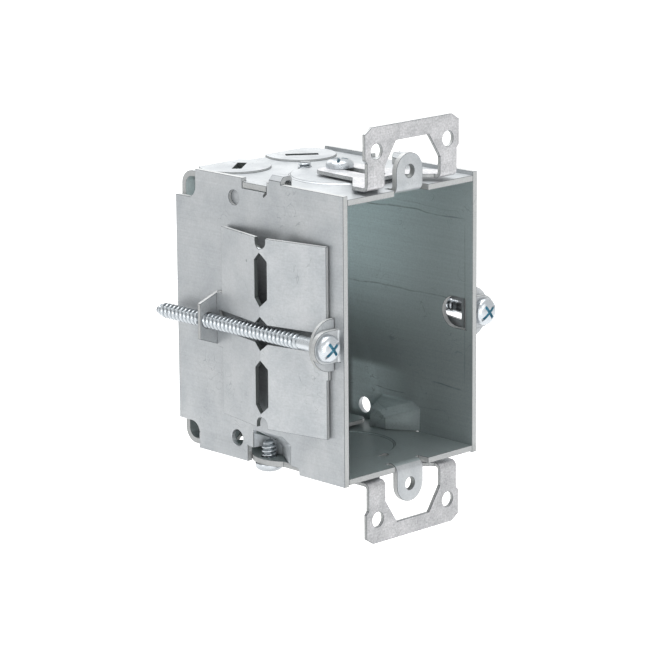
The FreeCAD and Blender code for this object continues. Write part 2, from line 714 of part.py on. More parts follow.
# One leaf of a wall clamp, flat in its own frame: X from its root to the fold, the outer face at Y = 0.
# The inner face lies at -Y on the front leaf and at +Y on the rear one.
def make_leaf(label, inward, root_length, neck_down, neck_up, from_front):
    body = new_body(label)
    leaf = new_sketch(body, "XY_Plane", label + "Section")
    polygon(leaf, [
        ("0", "0"),
        (strap_length, "0"),
        (f"{strap_length} - {fold_bevel}", f"{inward}strap_thick"),
        ("0", f"{inward}strap_thick"),
    ])
    pad(body, leaf, "2 * strap_half_height", midplane=True)
    holes = new_sketch(body, "XZ_Plane", label + "Holes", "strap_thick + 1")
    high = "strap_half_height + 1"
    for low_edge, high_edge in ((f"-({high})", f"-{neck_down}"), (neck_up, high)):
        polygon(holes, [
            ("-1", low_edge),
            (root_length, low_edge),
            (root_length, high_edge),
            ("-1", high_edge),
        ])
    for hand in ("", "-"):
        middle = f"{hand}hex_centre"
        polygon(holes, [
            (f"{strap_length} + 1", f"{middle} - hex_half_length"),
            (strap_length, f"{middle} - hex_half_length"),
            (f"{strap_length} - hex_half_width", f"{middle} - hex_straight"),
            (f"{strap_length} - hex_half_width", f"{middle} + hex_straight"),
            (strap_length, f"{middle} + hex_half_length"),
            (f"{strap_length} + 1", f"{middle} + hex_half_length"),
        ])
    polygon(holes, [
        ("strap_slot_start", "-strap_slot_half"),
        (f"{strap_length} - hex_half_width", "-strap_slot_half"),
        (strap_length, "-diamond_half_length"),
        (f"{strap_length} + 1", "-diamond_half_length"),
        (f"{strap_length} + 1", "diamond_half_length"),
        (strap_length, "diamond_half_length"),
        (f"{strap_length} - hex_half_width", "strap_slot_half"),
        ("strap_slot_start", "strap_slot_half"),
    ])
    pocket(body, holes, "2 * strap_thick + 2")
    notch_straight = "(fold_notch_depth - fold_notch_half)"
    for name, hand in (("Up", ""), ("Down", "-")):
        foot = f"{hand}(strap_half_height - {notch_straight})"
        corner = foot if hand == "" else f"-(strap_half_height + 1)"
        primitive(body, "SubtractiveBox", f"{label}Notch{name}",
                  (f"{strap_length} - fold_notch_half", "-strap_thick - 1", corner),
                  Length="fold_notch_half + 1", Width="2 * strap_thick + 2", Height=f"{notch_straight} + 1")
        primitive(body, "SubtractiveCylinder", f"{label}Round{name}",
                  (strap_length, "-strap_thick - 1", foot), along_y,
                  Radius="fold_notch_half", Height="2 * strap_thick + 2")
    place = strap_front if from_front else f"{strap_front} + strap_span"
    swing = f"90 deg + {strap_lean}" if from_front else f"270 deg - {strap_lean}"
    body.Placement = FreeCAD.Placement(Vector(), Rotation(Vector(0, 0, 1), number(swing)))
    tie(body, "Placement.Rotation.Angle", swing)
    tie(body, "Placement.Base.x", f"-{strap_root}")
    tie(body, "Placement.Base.y", place)
    tie(body, "Placement.Base.z", "-clamp_screw_drop")
    doc.recompute()
    return body


# The strap's front end: a D that the screw's flap bears on
def make_front_tab():
    body = new_body("clamp_front_tab_left")
    face = new_sketch(body, "XZ_Plane", "FrontTab", f"-{strap_front}")
    cut_disc(face, f"-{strap_root}", "-clamp_screw_drop", "front_tab_radius",
             f"-{strap_root} + strap_thick", vertical=True)
    pad(body, face, "strap_thick")
    primitive(body, "SubtractiveCylinder", "FrontTabHole",
              ("-clamp_screw_offset", f"{strap_front} - strap_thick - 1", "-clamp_screw_drop"), along_y,
              Radius="clamp_thread_radius + running_clearance", Height="strap_thick + 2")
    return body


# The strap's rear end: the tapped tab that the screw draws forward
def make_rear_tab():
    body = new_body("clamp_rear_tab_left")
    near = f"{strap_front} + strap_span"
    root = f"strap_thick - {strap_root}"
    far = f"{root} - rear_tab_reach"
    face = new_sketch(body, "XZ_Plane", "RearTab", f"-({near} + strap_thick)")
    polygon(face, [
        (root, "-clamp_screw_drop - rear_tab_half_root"),
        (root, "-clamp_screw_drop + rear_tab_half_root"),
        (far, "-clamp_screw_drop + rear_tab_half_end"),
        (far, "-clamp_screw_drop - rear_tab_half_end"),
    ])
    pad(body, face, "strap_thick")
    primitive(body, "SubtractiveCylinder", "RearTabHole",
              ("-clamp_screw_offset", f"{near} - 1", "-clamp_screw_drop"), along_y,
              Radius="clamp_thread_radius + running_clearance", Height="strap_thick + 2")
    return body


# A screw in its own frame: the head's seat at Z = 0, the head above, the thread below. Only the screws
# whose ends show have a tapered tip.
def make_screw(label, kind, length, place, turn, tip_length=None):
    body = new_body(label)
    head = f"{kind}_head_radius"
    rise = f"{kind}_head_height"
    thread = f"{kind}_thread_radius"
    half = new_sketch(body, "XZ_Plane", label + "Half")
    corners = [
        ("0", rise),
        (f"{head} * head_flat", rise),
        (head, f"{rise} * head_edge"),
        (head, "0"),
        (thread, "0"),
    ]
    if tip_length is None:
        corners += [(thread, f"-{length}"), ("0", f"-{length}")]
    else:
        corners += [(thread, f"{tip_length} - {length}"), (f"{thread} * tip_share", f"-{length}"),
                    ("0", f"-{length}")]
    polygon(half, corners)
    solid = body.newObject("PartDesign::Revolution", label + "Turned")
    solid.Profile = half
    solid.ReferenceAxis = (half, ["V_Axis"])
    solid.Angle = 360
    doc.recompute()
    arm = f"{head} * 2 * recess_share"
    recesses = (("Slot", f"{head} * 2", "recess_width", "recess_depth * 0.7"),
                ("CrossA", arm, "recess_width", "recess_depth"),
                ("CrossB", "recess_width", arm, "recess_depth"))
    for name, long, wide, deep in recesses:
        primitive(body, "SubtractiveBox", label + name,
                  (f"-({long}) / 2", f"-({wide}) / 2", f"{rise} - {deep}"),
                  Length=long, Width=wide, Height="recess_depth + 1")
    body.Placement = FreeCAD.Placement(Vector(), turn)
    for axis, text in zip("xyz", place):
        tie(body, f"Placement.Base.{axis}", text)
    doc.recompute()
    return body


# A cable clamp on the inside of the bottom: a land under the screw and two raised wings
def make_cable_clamp():
    body = new_body("cable_clamp_bottom")
    floor = f"sheet_thick - {top}"
    wing = f"{floor} + cable_clamp_lift"
    ramp = "cable_clamp_land + cable_clamp_ramp"
    lower = [("cable_clamp_land", floor), (ramp, wing), ("cable_clamp_half", wing)]
    upper = [(across, f"{up} + cable_clamp_thick") for across, up in reversed(lower)]
    flank = lower + upper
    section = new_sketch(body, "XZ_Plane", "CableClamp", "-(cable_clamp_front + cable_clamp_length)")
    polygon(section, flank + [(f"-({across})", up) for across, up in reversed(flank)])
    pad(body, section, "cable_clamp_length")
    rear = "cable_clamp_front + cable_clamp_length"
    soften(body, "CableClampRounds", "cable_clamp_round", 2,
           [(f"{hand}cable_clamp_half", depth, "0") for hand in ("", "-")
            for depth in ("cable_clamp_front", rear)])
    primitive(body, "SubtractiveCylinder", "CableClampHole", ("0", "cable_screw_place", f"{floor} - 1"),
              Radius="cable_thread_radius + running_clearance", Height="cable_clamp_thick + 2")
    return body


nodes = {}


def keep(thing):
    nodes[thing.Label] = thing
    return thing


keep(make_box_body())
left_pieces = [
    make_side_panel(),
    make_front_tab(),
    make_leaf("clamp_front_leaf_left", "-", "strap_root_front", "strap_neck_down", "strap_neck_up", True),
    make_leaf("clamp_rear_leaf_left", "", "strap_root_rear", "strap_neck_rear", "strap_neck_rear", False),
    make_rear_tab(),
    make_screw("clamp_screw_left", "clamp", "clamp_screw_length",
               ("-clamp_screw_offset", "flap_front", "-clamp_screw_drop"),
               Rotation(Vector(0, 0, 1), Vector(0, -1, 0)), "clamp_tip_length"),
    make_screw("lock_screw_left", "lock", "lock_screw_length",
               ("-lock_screw_offset", "lock_screw_place", "-" + top), downward, "lock_tip_length"),
]
for piece in left_pieces:
    keep(piece)
    keep(mirrored(piece, piece.Label.replace("left", "right"), Vector(1, 0, 0)))

ear = keep(make_ear())
keep(mirrored(ear, "plaster_ear_bottom", Vector(0, 0, 1)))
ear_screw = keep(make_screw("ear_screw_top", "ear", "ear_screw_length",
                            ("0", "ear_screw_place", f"{ear_seat} + ear_thick"), Rotation()))
keep(mirrored(ear_screw, "ear_screw_bottom", Vector(0, 0, 1)))

clamp = keep(make_cable_clamp())
keep(mirrored(clamp, "cable_clamp_top", Vector(0, 0, 1)))
clamp_screw = keep(make_screw("cable_clamp_screw_bottom", "cable", "(cable_clamp_thick + sheet_thick)",
                              ("0", "cable_screw_place", f"sheet_thick + cable_clamp_thick - {top}"),
                              Rotation()))
keep(mirrored(clamp_screw, "cable_clamp_screw_top", Vector(0, 0, 1)))

doc.recompute()
for thing in doc.Objects:
    if "Invalid" in thing.State or "Error" in thing.State:
        raise RuntimeError(f"{thing.Label} failed")
for name, thing in nodes.items():
    shape = thing.Shape
    if shape.isNull() or not shape.isValid() or not shape.Solids:
        raise RuntimeError(f"{name} has no valid solid")
os.makedirs("parts", exist_ok=True)
for name, thing in nodes.items():
    thing.Shape.exportStep(f"parts/{name}.step")
    print(name, len(thing.Shape.Solids), "solid(s)", round(thing.Shape.Volume, 2), "mm3")
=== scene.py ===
import json
import math
import bmesh
import bpy
from mathutils import Matrix, Vector
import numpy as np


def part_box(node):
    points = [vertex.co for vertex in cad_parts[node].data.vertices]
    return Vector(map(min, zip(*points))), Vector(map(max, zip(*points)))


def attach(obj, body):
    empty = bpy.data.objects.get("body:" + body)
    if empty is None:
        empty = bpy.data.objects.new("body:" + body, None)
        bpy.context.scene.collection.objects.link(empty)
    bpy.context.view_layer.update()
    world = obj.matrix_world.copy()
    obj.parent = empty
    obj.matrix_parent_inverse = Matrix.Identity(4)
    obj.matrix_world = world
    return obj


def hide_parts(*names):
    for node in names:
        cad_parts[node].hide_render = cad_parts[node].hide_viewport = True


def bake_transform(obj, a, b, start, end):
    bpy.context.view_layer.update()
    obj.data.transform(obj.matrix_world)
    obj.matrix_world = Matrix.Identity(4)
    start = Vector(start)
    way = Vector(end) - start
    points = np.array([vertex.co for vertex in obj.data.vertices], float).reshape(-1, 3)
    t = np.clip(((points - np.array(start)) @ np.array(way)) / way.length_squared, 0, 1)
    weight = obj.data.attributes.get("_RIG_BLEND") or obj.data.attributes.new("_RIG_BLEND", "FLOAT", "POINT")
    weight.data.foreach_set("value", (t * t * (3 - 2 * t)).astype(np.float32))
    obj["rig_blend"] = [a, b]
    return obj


# Gangable steel switch box: folded galvanized sheet, zinc plated screws, two fold-out wall clamps.
# In the dictionaries lengths are millimetres and angles degrees, unless a note says otherwise.

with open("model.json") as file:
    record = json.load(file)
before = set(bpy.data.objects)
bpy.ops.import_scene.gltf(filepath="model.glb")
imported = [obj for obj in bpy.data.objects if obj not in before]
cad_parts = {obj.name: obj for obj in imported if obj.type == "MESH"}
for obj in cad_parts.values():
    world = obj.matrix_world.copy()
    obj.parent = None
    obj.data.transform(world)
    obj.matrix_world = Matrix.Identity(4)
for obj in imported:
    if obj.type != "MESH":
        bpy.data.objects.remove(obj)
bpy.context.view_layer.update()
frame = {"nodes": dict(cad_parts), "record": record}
record = frame["record"]
mm = 0.001
touch = 1e-6           # metres, closer than this is the same place
bodyOf = {node: body for body, nodes in record["behaviour"]["bodies"].items() for node in nodes}
slotOf = {part["node"]: part["material_slot"] for part in record["subparts"]}
print("frame: loaded", len(frame["nodes"]), "nodes")


def addObject(name, data):
    thing = bpy.data.objects.new(name, data)
    bpy.context.scene.collection.objects.link(thing)
    return thing


# Camera

cameraValues = {
    "place": (-0.5826, -0.5700, 0.1956),      # metres
    "azimuth": 44.037,
    "elevation": 13.383,
    "roll": -0.462,
    "lens": 179.98,
    "sensorWidth": 36.0,
    "clipEnd": 50,         # metres
}


def makeCamera(values):
    data = bpy.data.cameras.new("photoCamera")
    data.lens = values["lens"]
    data.sensor_width = values["sensorWidth"]
    data.sensor_fit = "HORIZONTAL"
    data.clip_end = values["clipEnd"]
    camera = addObject("photoCamera", data)
    azimuth = math.radians(values["azimuth"])
    elevation = math.radians(values["elevation"])
    ahead = Vector((math.sin(azimuth) * math.cos(elevation),
                    math.cos(azimuth) * math.cos(elevation), -math.sin(elevation)))
    right = ahead.cross(Vector((0, 0, 1))).normalized()
    turn = Matrix.Rotation(-math.radians(values["roll"]), 3, ahead)
    right = turn @ right
    up = right.cross(ahead)
    pose = Matrix((right, up, -ahead)).transposed().to_4x4()
    pose.translation = Vector(values["place"])
    camera.matrix_world = pose
    bpy.context.scene.camera = camera


makeCamera(cameraValues)
print("camera: set")


# Node helpers

def toLinear(hexColour):
    channels = [int(hexColour[place:place + 2], 16) / 255 for place in (1, 3, 5)]
    return tuple(c / 12.92 if c <= 0.04045 else ((c + 0.055) / 1.055) ** 2.4 for c in channels) + (1.0,)


# What a node is given is a number, a colour or another node's output.
def addNode(tree, kind, given=None, **settings):
    node = tree.nodes.new(kind)
    for name, value in settings.items():
        setattr(node, name, value)
    for socket, value in (given or {}).items():
        if isinstance(value, bpy.types.NodeSocket):
            tree.links.new(value, node.inputs[socket])
        else:
            node.inputs[socket].default_value = value
    return node


def joined(tree, operation, *given):
    return addNode(tree, "ShaderNodeMath", dict(enumerate(given)), operation=operation).outputs[0]


def ranged(tree, value, low, high, toLow=0.0, toHigh=1.0, soft=False):
    given = {"Value": value, "From Min": low, "From Max": high, "To Min": toLow, "To Max": toHigh}
    kind = "SMOOTHSTEP" if soft else "LINEAR"
    return addNode(tree, "ShaderNodeMapRange", given, interpolation_type=kind).outputs[0]


def mixed(tree, share, first, second):
    first, second = (toLinear(given) if isinstance(given, str) else given for given in (first, second))
    return addNode(tree, "ShaderNodeMix", {0: share, 6: first, 7: second}, data_type="RGBA").outputs[2]


def noise(tree, size, vector, **values):
    given = {"Vector": vector, "Scale": 1 / (size * mm)}
    given.update({name.capitalize(): value for name, value in values.items()})
    return addNode(tree, "ShaderNodeTexNoise", given).outputs["Fac"]


def attribute(tree, name):
    return addNode(tree, "ShaderNodeAttribute", attribute_name=name).outputs["Fac"]


def objectPlace(tree):
    return addNode(tree, "ShaderNodeTexCoord").outputs["Object"]


def parted(tree, vector):
    return list(addNode(tree, "ShaderNodeSeparateXYZ", {0: vector}).outputs)


def toned(tree, colour, tone):
    return addNode(tree, "ShaderNodeHueSaturation", {"Value": tone, "Color": colour}).outputs[0]


def bumped(tree, height, strength, distance):
    given = {"Strength": strength, "Distance": distance * mm, "Height": height}
    return addNode(tree, "ShaderNodeBump", given).outputs[0]


def awayFrom(tree, value, middle):
    return joined(tree, "ABSOLUTE", joined(tree, "SUBTRACT", value, middle * mm))


# A zone is a list of rows: its axis, the middle that it is measured from on both sides (None for the plain
# coordinate), where it starts, where it is full, and whether it fades softly. All rows hold in a zone.
def zoneShare(tree, split, rows):
    share = None
    for axis, middle, start, full, soft in rows:
        spot = split["XYZ".index(axis)]
        if middle is not None:
            spot = awayFrom(tree, spot, middle)
        row = ranged(tree, spot, start * mm, full * mm, soft=soft)
        share = row if share is None else joined(tree, "MULTIPLY", share, row)
    return share


def darkened(tree, split, rows, share):
    return joined(tree, "MULTIPLY_ADD", zoneShare(tree, split, rows), -share, 1.0)


def newMaterial(name):
    material = bpy.data.materials.new(name)
    material.use_nodes = True
    material.node_tree.nodes.clear()
    return material, material.node_tree


def surface(tree, shader):
    addNode(tree, "ShaderNodeOutputMaterial", {"Surface": shader.outputs[0]})


# Studio: pale floor far below the hung box, white background, soft lamps

studio = {
    "floorDrop": -0.22,       # metres, well under the part
    "floorSize": 14.0,        # metres
    "floorColour": "#F2F2F2",
    "floorGlow": 0.55,
    "worldColour": "#FFFFFF",
    "worldFill": 0.47,
    "lamps": [                # name, place and size in metres, watts
        ("keyAbove", (-0.1, 0.2, 1.5), 1.4, 30.0),
        ("fillLeft", (-1.6, -0.7, 0.5), 1.0, 2.5),
        ("lowFront", (-0.7, -1.4, 0.0), 0.8, 8.0),
        ("highFront", (0.1, -1.6, 0.6), 0.7, 3.5),
        ("rimBehind", (0.3, 1.5, 0.9), 1.0, 4.0),
    ],
}


def seenDirectly(tree):
    path = addNode(tree, "ShaderNodeLightPath").outputs
    some = joined(tree, "MAXIMUM", path["Is Camera Ray"], path["Is Glossy Ray"])
    return joined(tree, "MAXIMUM", some, path["Is Transmission Ray"])


def makeFloor(values):
    half = values["floorSize"] / 2
    mesh = bpy.data.meshes.new("floor")
    corners = [(-half, -half), (half, -half), (half, half), (-half, half)]
    mesh.from_pydata([(x, y, values["floorDrop"]) for x, y in corners], [], [(0, 1, 2, 3)])
    floor = addObject("floor", mesh)
    material, tree = newMaterial("paleFloor")
    paint = addNode(tree, "ShaderNodeBsdfDiffuse", {"Color": toLinear(values["floorColour"])})
    glow = joined(tree, "MULTIPLY", seenDirectly(tree), values["floorGlow"])
    light = addNode(tree, "ShaderNodeEmission", {"Strength": glow})
    surface(tree, addNode(tree, "ShaderNodeAddShader", {0: paint.outputs[0], 1: light.outputs[0]}))
    mesh.materials.append(material)


def makeWorld(values):
    world = bpy.data.worlds.new("paleRoom")
    bpy.context.scene.world = world
    world.use_nodes = True
    tree = world.node_tree
    tree.nodes.clear()
    strength = ranged(tree, seenDirectly(tree), 0.0, 1.0, values["worldFill"], 1.0)
    given = {"Color": toLinear(values["worldColour"]), "Strength": strength}
    sky = addNode(tree, "ShaderNodeBackground", given)
    addNode(tree, "ShaderNodeOutputWorld", {"Surface": sky.outputs[0]})


def makeStudio(values):
    makeFloor(values)
    makeWorld(values)
    for name, place, size, watts in values["lamps"]:
        lamp = bpy.data.lights.new(name, "AREA")
        lamp.size = size
        lamp.energy = watts
        thing = addObject(name, lamp)
        thing.location = place
        thing.rotation_euler = (-Vector(place)).to_track_quat("-Z", "Y").to_euler()
    bpy.context.scene.view_settings.view_transform = "Standard"


makeStudio(studio)
print("studio: floor, world and lamps")


# Materials

# Galvanized cold rolled sheet: a soft cloudy grey with fine grain, faint rolling lines, hairline
# scratches and a few dark pits. Sheared edges are duller and darker, with a painted dark line of shade at
# the corners beside them. Inside faces take a teal tint with painted light and shade over them; outside,
# what faces up or the room is painted lighter.
galvanizedSheet = {
    "colour": "#ABAEB0",
    "shade": "#9CA0A3",
    "cutColour": "#A4A6A6",
    "insideColour": "#A9B4B5",
    "dirtAndShadeColour": "#55605F",
    "paintedShadeColour": "#2E3433",
    "metallic": 0.62,
    "cutMetallic": 0.45,
    "insideMetallic": 0.35,
    "roughness": 0.42,
    "roughnessSpread": 0.07,
    "roughRange": (0.6, 1.4),
    "cloud": 9.0,
    "cloudRange": (0.35, 0.65),
    "grain": 0.55,
    "grainShare": 0.14,
    "line": 0.35,
    "lineLength": 60,              # times its width
    "lineShare": 0.12,
    "scratch": 8.0,
    "scratchWave": 2.2,
    "scratchWidth": (0.012, 0.003),
    "scratchPatch": 11.2,          # size of the places that have scratches
    "patchRange": (0.56, 0.66),
    "pit": 7.0,
    "pitEdge": (0.075, 0.035),
    "pitChance": (0.55, 0.6),
    "scratchDirt": 0.35,
    "pitDirt": 0.5,
    "paintedShadeGrey": 0.5,               # painted shade on the walls of windows and holes, in grey and then near black
    "paintedShadeBlack": 0.8,
    "markRough": 0.15,             # how much rougher a sheared edge or a stroke is
    "bump": 0.010,
    "bumpStrength": 0.35,
    "lineRelief": 0.5,
    "topPaintedLight": 0.45,              # painted light: how much lighter what faces up is, outside
    "topFacing": (0.7, 0.95),
    "frontPaintedLight": 0.12,            # painted light on what faces the room, apart from the floor's front rim
    "frontFacing": (-0.08, -0.17),
    "frontZone": [("Z", -36.6, 0.8, 1.2, False)],
    "pocketPaintedLight": 0.6,            # painted light in the pressed pocket over the lock screw
    "pocketZone": [("X", 0.0, 24.5, 24.0, False), ("Z", -29.2, 6.3, 5.8, False),
                   ("Y", 27.0, 15.0, 13.0, False)],
    "lowShade": 0.0,               # painted shade: how much darker what hangs below the box is
    "lowZone": [("Z", None, -35.0, -37.0, False)],
    "insideZone": [("Z", 0.0, 37.2, 36.6, False)],
}
# The ears are a thinner strip with a coarse sandy crystal; the lower ear is painted darker as shade.
galvanizedEar = dict(galvanizedSheet, colour="#C0C0C2", shade="#A6A7A9", grain=0.5, grainShare=0.50,
                     frontPaintedLight=0.0, cloud=5.0, roughness=0.38, lowShade=0.15)
# Painted shade: a dark line on the eased corner between a face and its sheared edge.
edgeShadeLine = dict(galvanizedSheet, colour="#606567", shade="#55595C", insideColour="#76817F",
                  cutColour="#5A5E60", metallic=0.6, roughness=0.5)

# Dirt streaks on the inner sides, and one painted shade line along a crease, each a stroke along Y at a
# height, or along Z at a depth.
insideStrokes = {
    "rows": [              # along, height or depth, from, to, half width, strength
        ("Y", 25.1, -1.0, 46.0, 0.30, 0.55),
        ("Y", 26.9, 2.0, 30.0, 0.20, 0.25),
        ("Y", 3.0, 4.0, 50.0, 0.28, 0.45),
        ("Y", -21.3, 3.0, 15.0, 0.28, 0.60),
        ("Y", -25.9, 24.0, 37.0, 0.25, 0.55),
        ("Y", -28.6, 8.0, 20.0, 0.20, 0.25),
        # painted shade along the crease near the front edge
        ("Z", 2.3, -22.0, 26.0, 0.22, 0.45),
    ],
    "wave": 14.0,
    "swing": {"Y": 2.5, "Z": 0.3},
    "gap": 3.0,
    "gapRange": (0.35, 0.6),
    "gapStrength": 0.4,    # share of the strength that is left in a gap
    "core": 0.2,           # share of the half width that is darkest
    "run": 0.7,            # share of the half length before it fades
}

# Painted light and shade inside, as a factor on the finish: the farther in and the higher, the lighter.
paintedInsideLight = {
    "base": 0.585,
    "highZone": [("Z", None, -17.0, 13.0, True)],
    "deepZone": [("Y", None, 5.0, 45.0, True)],
    "nearShare": 0.35,
    "deepShare": 0.95,
    "lighter": [           # zone and share of painted light: the floor's side, the pressed scoop, a painted glow beside it
        ([("Z", None, -14.0, -24.0, True)], 0.05),
        ([("X", 0.0, 22.9, 21.0, False), ("Z", None, -34.5, -33.0, False),
          ("Z", None, -18.0, -24.0, False)], 0.22),
        ([("Y", None, 46.0, 44.0, True), ("Y", None, 21.0, 40.0, True), ("Z", -27.0, 8.5, 6.0, True),
          ("X", 0.0, 22.0, 22.8, False)], 0.85),
    ],
    # Painted shade deep towards the back wall.
    "backZone": [("Y", None, 50.0, 56.0, True)],
    "backShade": 0.4,
}

# Zinc plated steel screws: smoother, with painted shade between the threads and a painted blue reflection in
# the driver recess.
zincScrew = {
    "colour": "#B4B9BD",
    # painted blue reflection in the driver recess
    "hollow": "#5BA9BF",
    # painted shade between the threads
    "groove": "#5E666B",
    "grooveShare": 0.8,
    "metallic": 0.95,
    "hollowMetallic": 0.35,
    "roughness": (0.21, 0.37),
    "grain": 0.5,
    "bump": 0.01,
    "bumpStrength": 0.2,
    "underShade": 0.55,    # painted shade: how much darker the heads under the box are
    "underZone": [("Z", None, -37.6, -39.5, False)],
    "windowShade": 0.6,    # and painted shade on the bare shank's side that the panel's window shows
    "windowZone": [("X", 0.0, 28.9, 28.3, False), ("Y", None, 9.8, 9.2, False),
                   ("Y", None, 1.4, 1.8, False), ("Z", 0.0, 10.0, 9.0, False)],
}


def strokeShare(tree, place, split, values):
    wave = noise(tree, values["wave"], place, detail=2.0)
    gaps = ranged(tree, noise(tree, values["gap"], place, detail=3.0), *values["gapRange"])
    share = 0.0
    for along, level, start, end, half, strength in values["rows"]:
        run, across = (split[1], split[2]) if along == "Y" else (split[2], split[1])
        swing = values["swing"][along] * mm
        drift = joined(tree, "MULTIPLY_ADD", wave, swing, -swing / 2)
        off = awayFrom(tree, joined(tree, "ADD", across, drift), level)
        band = ranged(tree, off, half * mm, half * values["core"] * mm, soft=True)
        reach = (end - start) / 2
        away = awayFrom(tree, run, (start + end) / 2)
        length = ranged(tree, away, reach * mm, reach * values["run"] * mm, soft=True)
        mark = joined(tree, "MULTIPLY", joined(tree, "MULTIPLY", band, length), strength)
        share = joined(tree, "MAXIMUM", share, mark)
    left = values["gapStrength"]
    return joined(tree, "MULTIPLY", share, joined(tree, "MULTIPLY_ADD", gaps, 1 - left, left))


def paintedInsideShade(tree, split, values):
    deep = zoneShare(tree, split, values["deepZone"])
    lit = joined(tree, "MULTIPLY_ADD", deep, values["deepShare"], values["nearShare"])
    shade = joined(tree, "MULTIPLY_ADD", zoneShare(tree, split, values["highZone"]), lit, values["base"])
    for rows, share in values["lighter"]:
        shade = joined(tree, "MULTIPLY_ADD", zoneShare(tree, split, rows), share, shade)
    back = darkened(tree, split, values["backZone"], values["backShade"])
    return joined(tree, "MULTIPLY", shade, back)


def rolledLines(tree, place, values, along):
    stretch = [1 / (values["line"] * mm)] * 3
    stretch[along] = 1 / (values["line"] * values["lineLength"] * mm)
    rolled = addNode(tree, "ShaderNodeVectorMath", {0: place, 1: stretch}, operation="MULTIPLY")
    given = {"Vector": rolled.outputs[0], "Scale": 1.0, "Detail": 2.0}
    return addNode(tree, "ShaderNodeTexNoise", given).outputs["Fac"]


def wearMarks(tree, place, values):
    hair = noise(tree, values["scratch"], place, detail=1.0, distortion=values["scratchWave"])
    offHair = joined(tree, "ABSOLUTE", joined(tree, "SUBTRACT", hair, 0.5))
    patch = ranged(tree, noise(tree, values["scratchPatch"], place, detail=1.0), *values["patchRange"])
    scratch = joined(tree, "MULTIPLY", ranged(tree, offHair, *values["scratchWidth"]), patch)
    given = {"Vector": place, "Scale": 1 / (values["pit"] * mm)}
    spots = addNode(tree, "ShaderNodeTexVoronoi", given).outputs
    chance = addNode(tree, "ShaderNodeSeparateColor", {"Color": spots["Color"]}).outputs[0]
    pit = joined(tree, "MULTIPLY", ranged(tree, spots["Distance"], *values["pitEdge"]),
                 ranged(tree, chance, *values["pitChance"]))
    return scratch, pit


# Painted light: what faces up, faces the room or lies in the pocket is painted lighter, on the outside only.
def paintedFacingLight(tree, split, values, outside):
    facing = parted(tree, addNode(tree, "ShaderNodeNewGeometry").outputs["True Normal"])
    upward = ranged(tree, facing[2], *values["topFacing"])
    upward = joined(tree, "MULTIPLY", upward, values["topPaintedLight"])
    forward = ranged(tree, facing[1], *values["frontFacing"])
    forward = joined(tree, "MULTIPLY", forward, values["frontPaintedLight"])
    forward = joined(tree, "MULTIPLY", forward, zoneShare(tree, split, values["frontZone"]))
    pocket = joined(tree, "MULTIPLY", zoneShare(tree, split, values["pocketZone"]), values["pocketPaintedLight"])
    most = joined(tree, "MAXIMUM", joined(tree, "MAXIMUM", upward, forward), pocket)
    return joined(tree, "MULTIPLY_ADD", most, outside, 1.0)


def makeSheetMaterial(name, values, along):
    material, tree = newMaterial(name)
    place = objectPlace(tree)
    split = parted(tree, place)
    cloud = noise(tree, values["cloud"], place, detail=5.0, roughness=0.6, distortion=0.3)
    grain = noise(tree, values["grain"], place, detail=2.0)
    lines = rolledLines(tree, place, values, along)
    scratch, pit = wearMarks(tree, place, values)
    inside = attribute(tree, "inside")
    inside = joined(tree, "MULTIPLY", inside, zoneShare(tree, split, values["insideZone"]))
    outside = joined(tree, "SUBTRACT", 1.0, inside)
    cut = attribute(tree, "cutEdge")
    paintedShade = attribute(tree, "shaded")
    strokes = joined(tree, "MULTIPLY", strokeShare(tree, place, split, insideStrokes), inside)

    grainShare, lineShare = values["grainShare"], values["lineShare"]
    tone = joined(tree, "MULTIPLY_ADD", grain, 2 * grainShare, 1 - grainShare)
    tone = joined(tree, "ADD", tone, joined(tree, "MULTIPLY_ADD", lines, 2 * lineShare, -lineShare))
    inShade = joined(tree, "SUBTRACT", paintedInsideShade(tree, split, paintedInsideLight), 1.0)
    tone = joined(tree, "MULTIPLY", tone, joined(tree, "MULTIPLY_ADD", inShade, inside, 1.0))
    tone = joined(tree, "MULTIPLY", tone, paintedFacingLight(tree, split, values, outside))
    tone = joined(tree, "MULTIPLY", tone, darkened(tree, split, values["lowZone"], values["lowShade"]))

    metal = mixed(tree, ranged(tree, cloud, *values["cloudRange"]), values["shade"], values["colour"])
    metal = mixed(tree, inside, metal, values["insideColour"])
    metal = mixed(tree, cut, metal, values["cutColour"])
    # Marks darken toward the dirt-and-shade colour: real scratches, pits and streaks, and painted shade on
    # hole walls and along a crease. The hole walls then take the near-black painted shade.
    marksAndShade = joined(tree, "MAXIMUM", joined(tree, "MULTIPLY", scratch, values["scratchDirt"]),
                   joined(tree, "MULTIPLY", pit, values["pitDirt"]))
    marksAndShade = joined(tree, "MAXIMUM", marksAndShade, strokes)
    marksAndShade = joined(tree, "MAXIMUM", marksAndShade, joined(tree, "MULTIPLY", paintedShade, values["paintedShadeGrey"]))
    colour = mixed(tree, marksAndShade, toned(tree, metal, tone), values["dirtAndShadeColour"])
    colour = mixed(tree, joined(tree, "MULTIPLY", paintedShade, values["paintedShadeBlack"]), colour, values["paintedShadeColour"])

    base = values["metallic"]
    metallic = joined(tree, "MULTIPLY_ADD", inside, values["insideMetallic"] - base, base)
    metallic = joined(tree, "MULTIPLY_ADD", cut, values["cutMetallic"] - base, metallic)
    middle, spread = values["roughness"], values["roughnessSpread"]
    rough = joined(tree, "ADD", lines, cloud)
    rough = ranged(tree, rough, *values["roughRange"], middle - spread, middle + spread)
    rough = joined(tree, "MULTIPLY_ADD", joined(tree, "MAXIMUM", cut, strokes), values["markRough"], rough)
    relief = joined(tree, "MULTIPLY_ADD", lines, values["lineRelief"], grain)
    relief = joined(tree, "SUBTRACT", relief, joined(tree, "MAXIMUM", scratch, pit))
    given = {"Base Color": colour, "Metallic": metallic, "Roughness": rough,
             "Normal": bumped(tree, relief, values["bumpStrength"], values["bump"])}
    surface(tree, addNode(tree, "ShaderNodeBsdfPrincipled", given))
    return material


